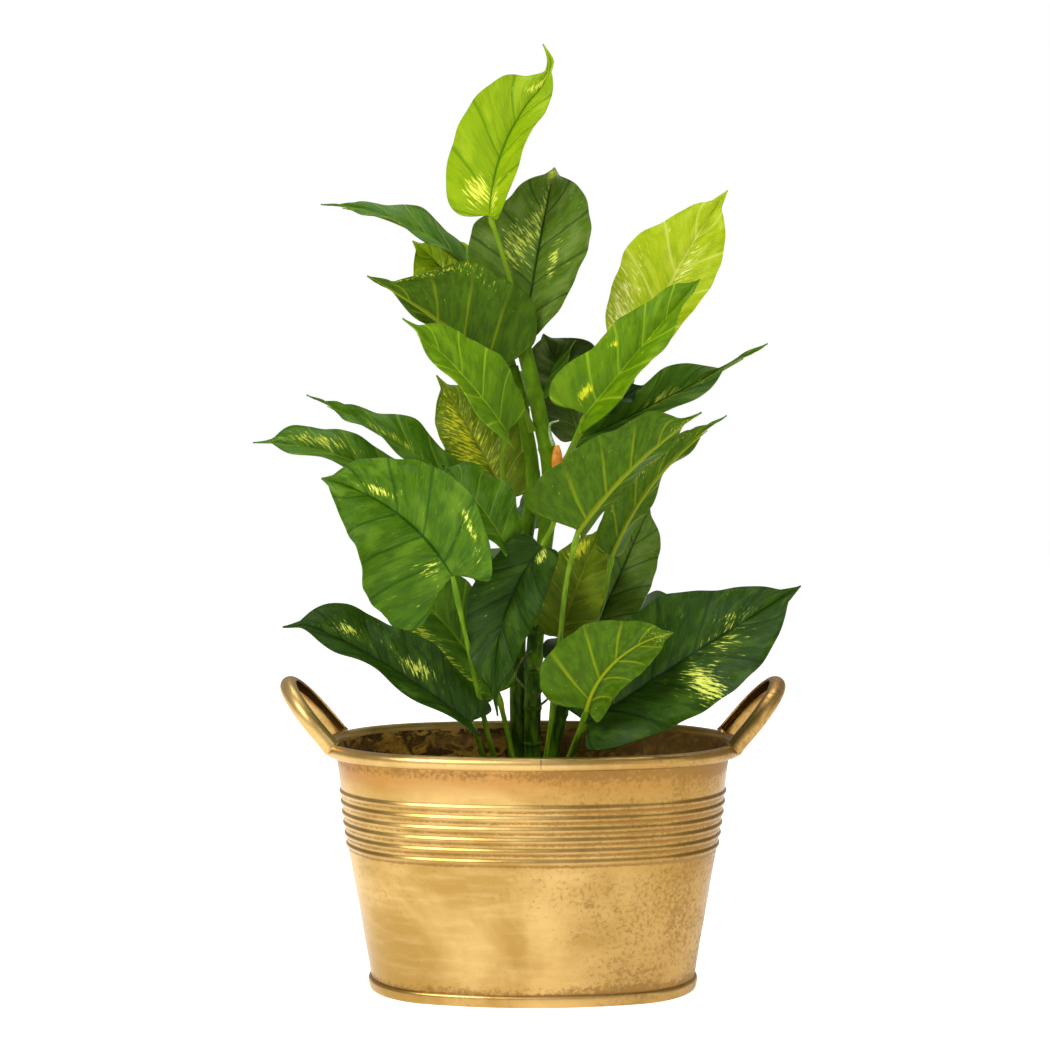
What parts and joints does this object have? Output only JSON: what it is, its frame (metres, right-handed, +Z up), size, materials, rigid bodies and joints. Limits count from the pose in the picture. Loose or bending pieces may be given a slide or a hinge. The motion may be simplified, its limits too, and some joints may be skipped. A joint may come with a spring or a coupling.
{
  "type": "potted pothos",
  "caption": "Bushy pothos with marbled heart-shaped leaves on upright stems, planted in an oval ribbed gold-finish metal tub with two loop handles.",
  "frame": {"origin": "on the surface the tub stands on, under the middle of the oval base", "axes": "+Z up, X along the tub from handle to handle, -Y towards the viewer's side of the plant"},
  "size_m": [0.3155, 0.2255, 0.5502],
  "materials": {
    "antique_gold": "gold finish over sheet steel, satin, rubbed and speckled with brown",
    "dry_foam": "rough open foam",
    "soil_look": "loose dark granules held in glue",
    "stem_green": "moulded, low sheen",
    "stalk_green": "moulded, low sheen",
    "root_brown": "moulded",
    "bud_orange": "moulded, soft sheen",
    "shoot_pale": "moulded",
    "leaf_lime": "printed coated fabric, soft sheen, yellow marbling",
    "leaf_bright": "printed coated fabric, soft sheen, cream marbling",
    "leaf_green": "printed coated fabric, soft sheen",
    "leaf_dark": "printed coated fabric, soft sheen, pale flecks",
    "leaf_olive": "printed coated fabric, greyish underside"
  },
  "bodies": {
    "root": {"pot_wall": "antique_gold", "pot_base": "antique_gold", "base_seam": "antique_gold", "rim_roll": "antique_gold", "handle_left": "antique_gold", "handle_right": "antique_gold", "braze_left": "antique_gold", "braze_right": "antique_gold", "foam_block": "dry_foam", "soil_cover": "soil_look", "stem_plug": "stem_green", "stem_main": "stem_green", "stem_left": "stem_green", "stem_right": "stem_green", "stem_rings": "stem_green", "aerial_roots": "root_brown", "bud_sheath": "bud_orange", "shoot_tip": "shoot_pale", "stalks_top": "stalk_green", "stalks_middle": "stalk_green", "stalks_low": "stalk_green", "leaf_01": "leaf_lime", "leaf_02": "leaf_dark", "leaf_03": "leaf_green", "leaf_04": "leaf_lime", "leaf_05": "leaf_green", "leaf_06": "leaf_bright", "leaf_07": "leaf_lime", "leaf_08": "leaf_dark", "leaf_09": "leaf_bright", "leaf_10": "leaf_green", "leaf_11": "leaf_dark", "leaf_12": "leaf_green", "leaf_13": "leaf_lime", "leaf_14": "leaf_bright", "leaf_15": "leaf_dark", "leaf_16": "leaf_dark", "leaf_17": "leaf_dark", "leaf_18": "leaf_green", "leaf_19": "leaf_green", "leaf_20": "leaf_olive", "leaf_21": "leaf_olive", "leaf_22": "leaf_olive", "leaf_23": "leaf_bright", "leaf_24": "leaf_dark", "leaf_25": "leaf_dark", "leaf_26": "leaf_green", "leaf_27": "leaf_green", "leaf_28": "leaf_bright", "leaf_29": "leaf_dark", "leaf_30": "leaf_green", "leaf_31": "leaf_bright", "leaf_32": "leaf_green"}
  },
  "joints": []
}
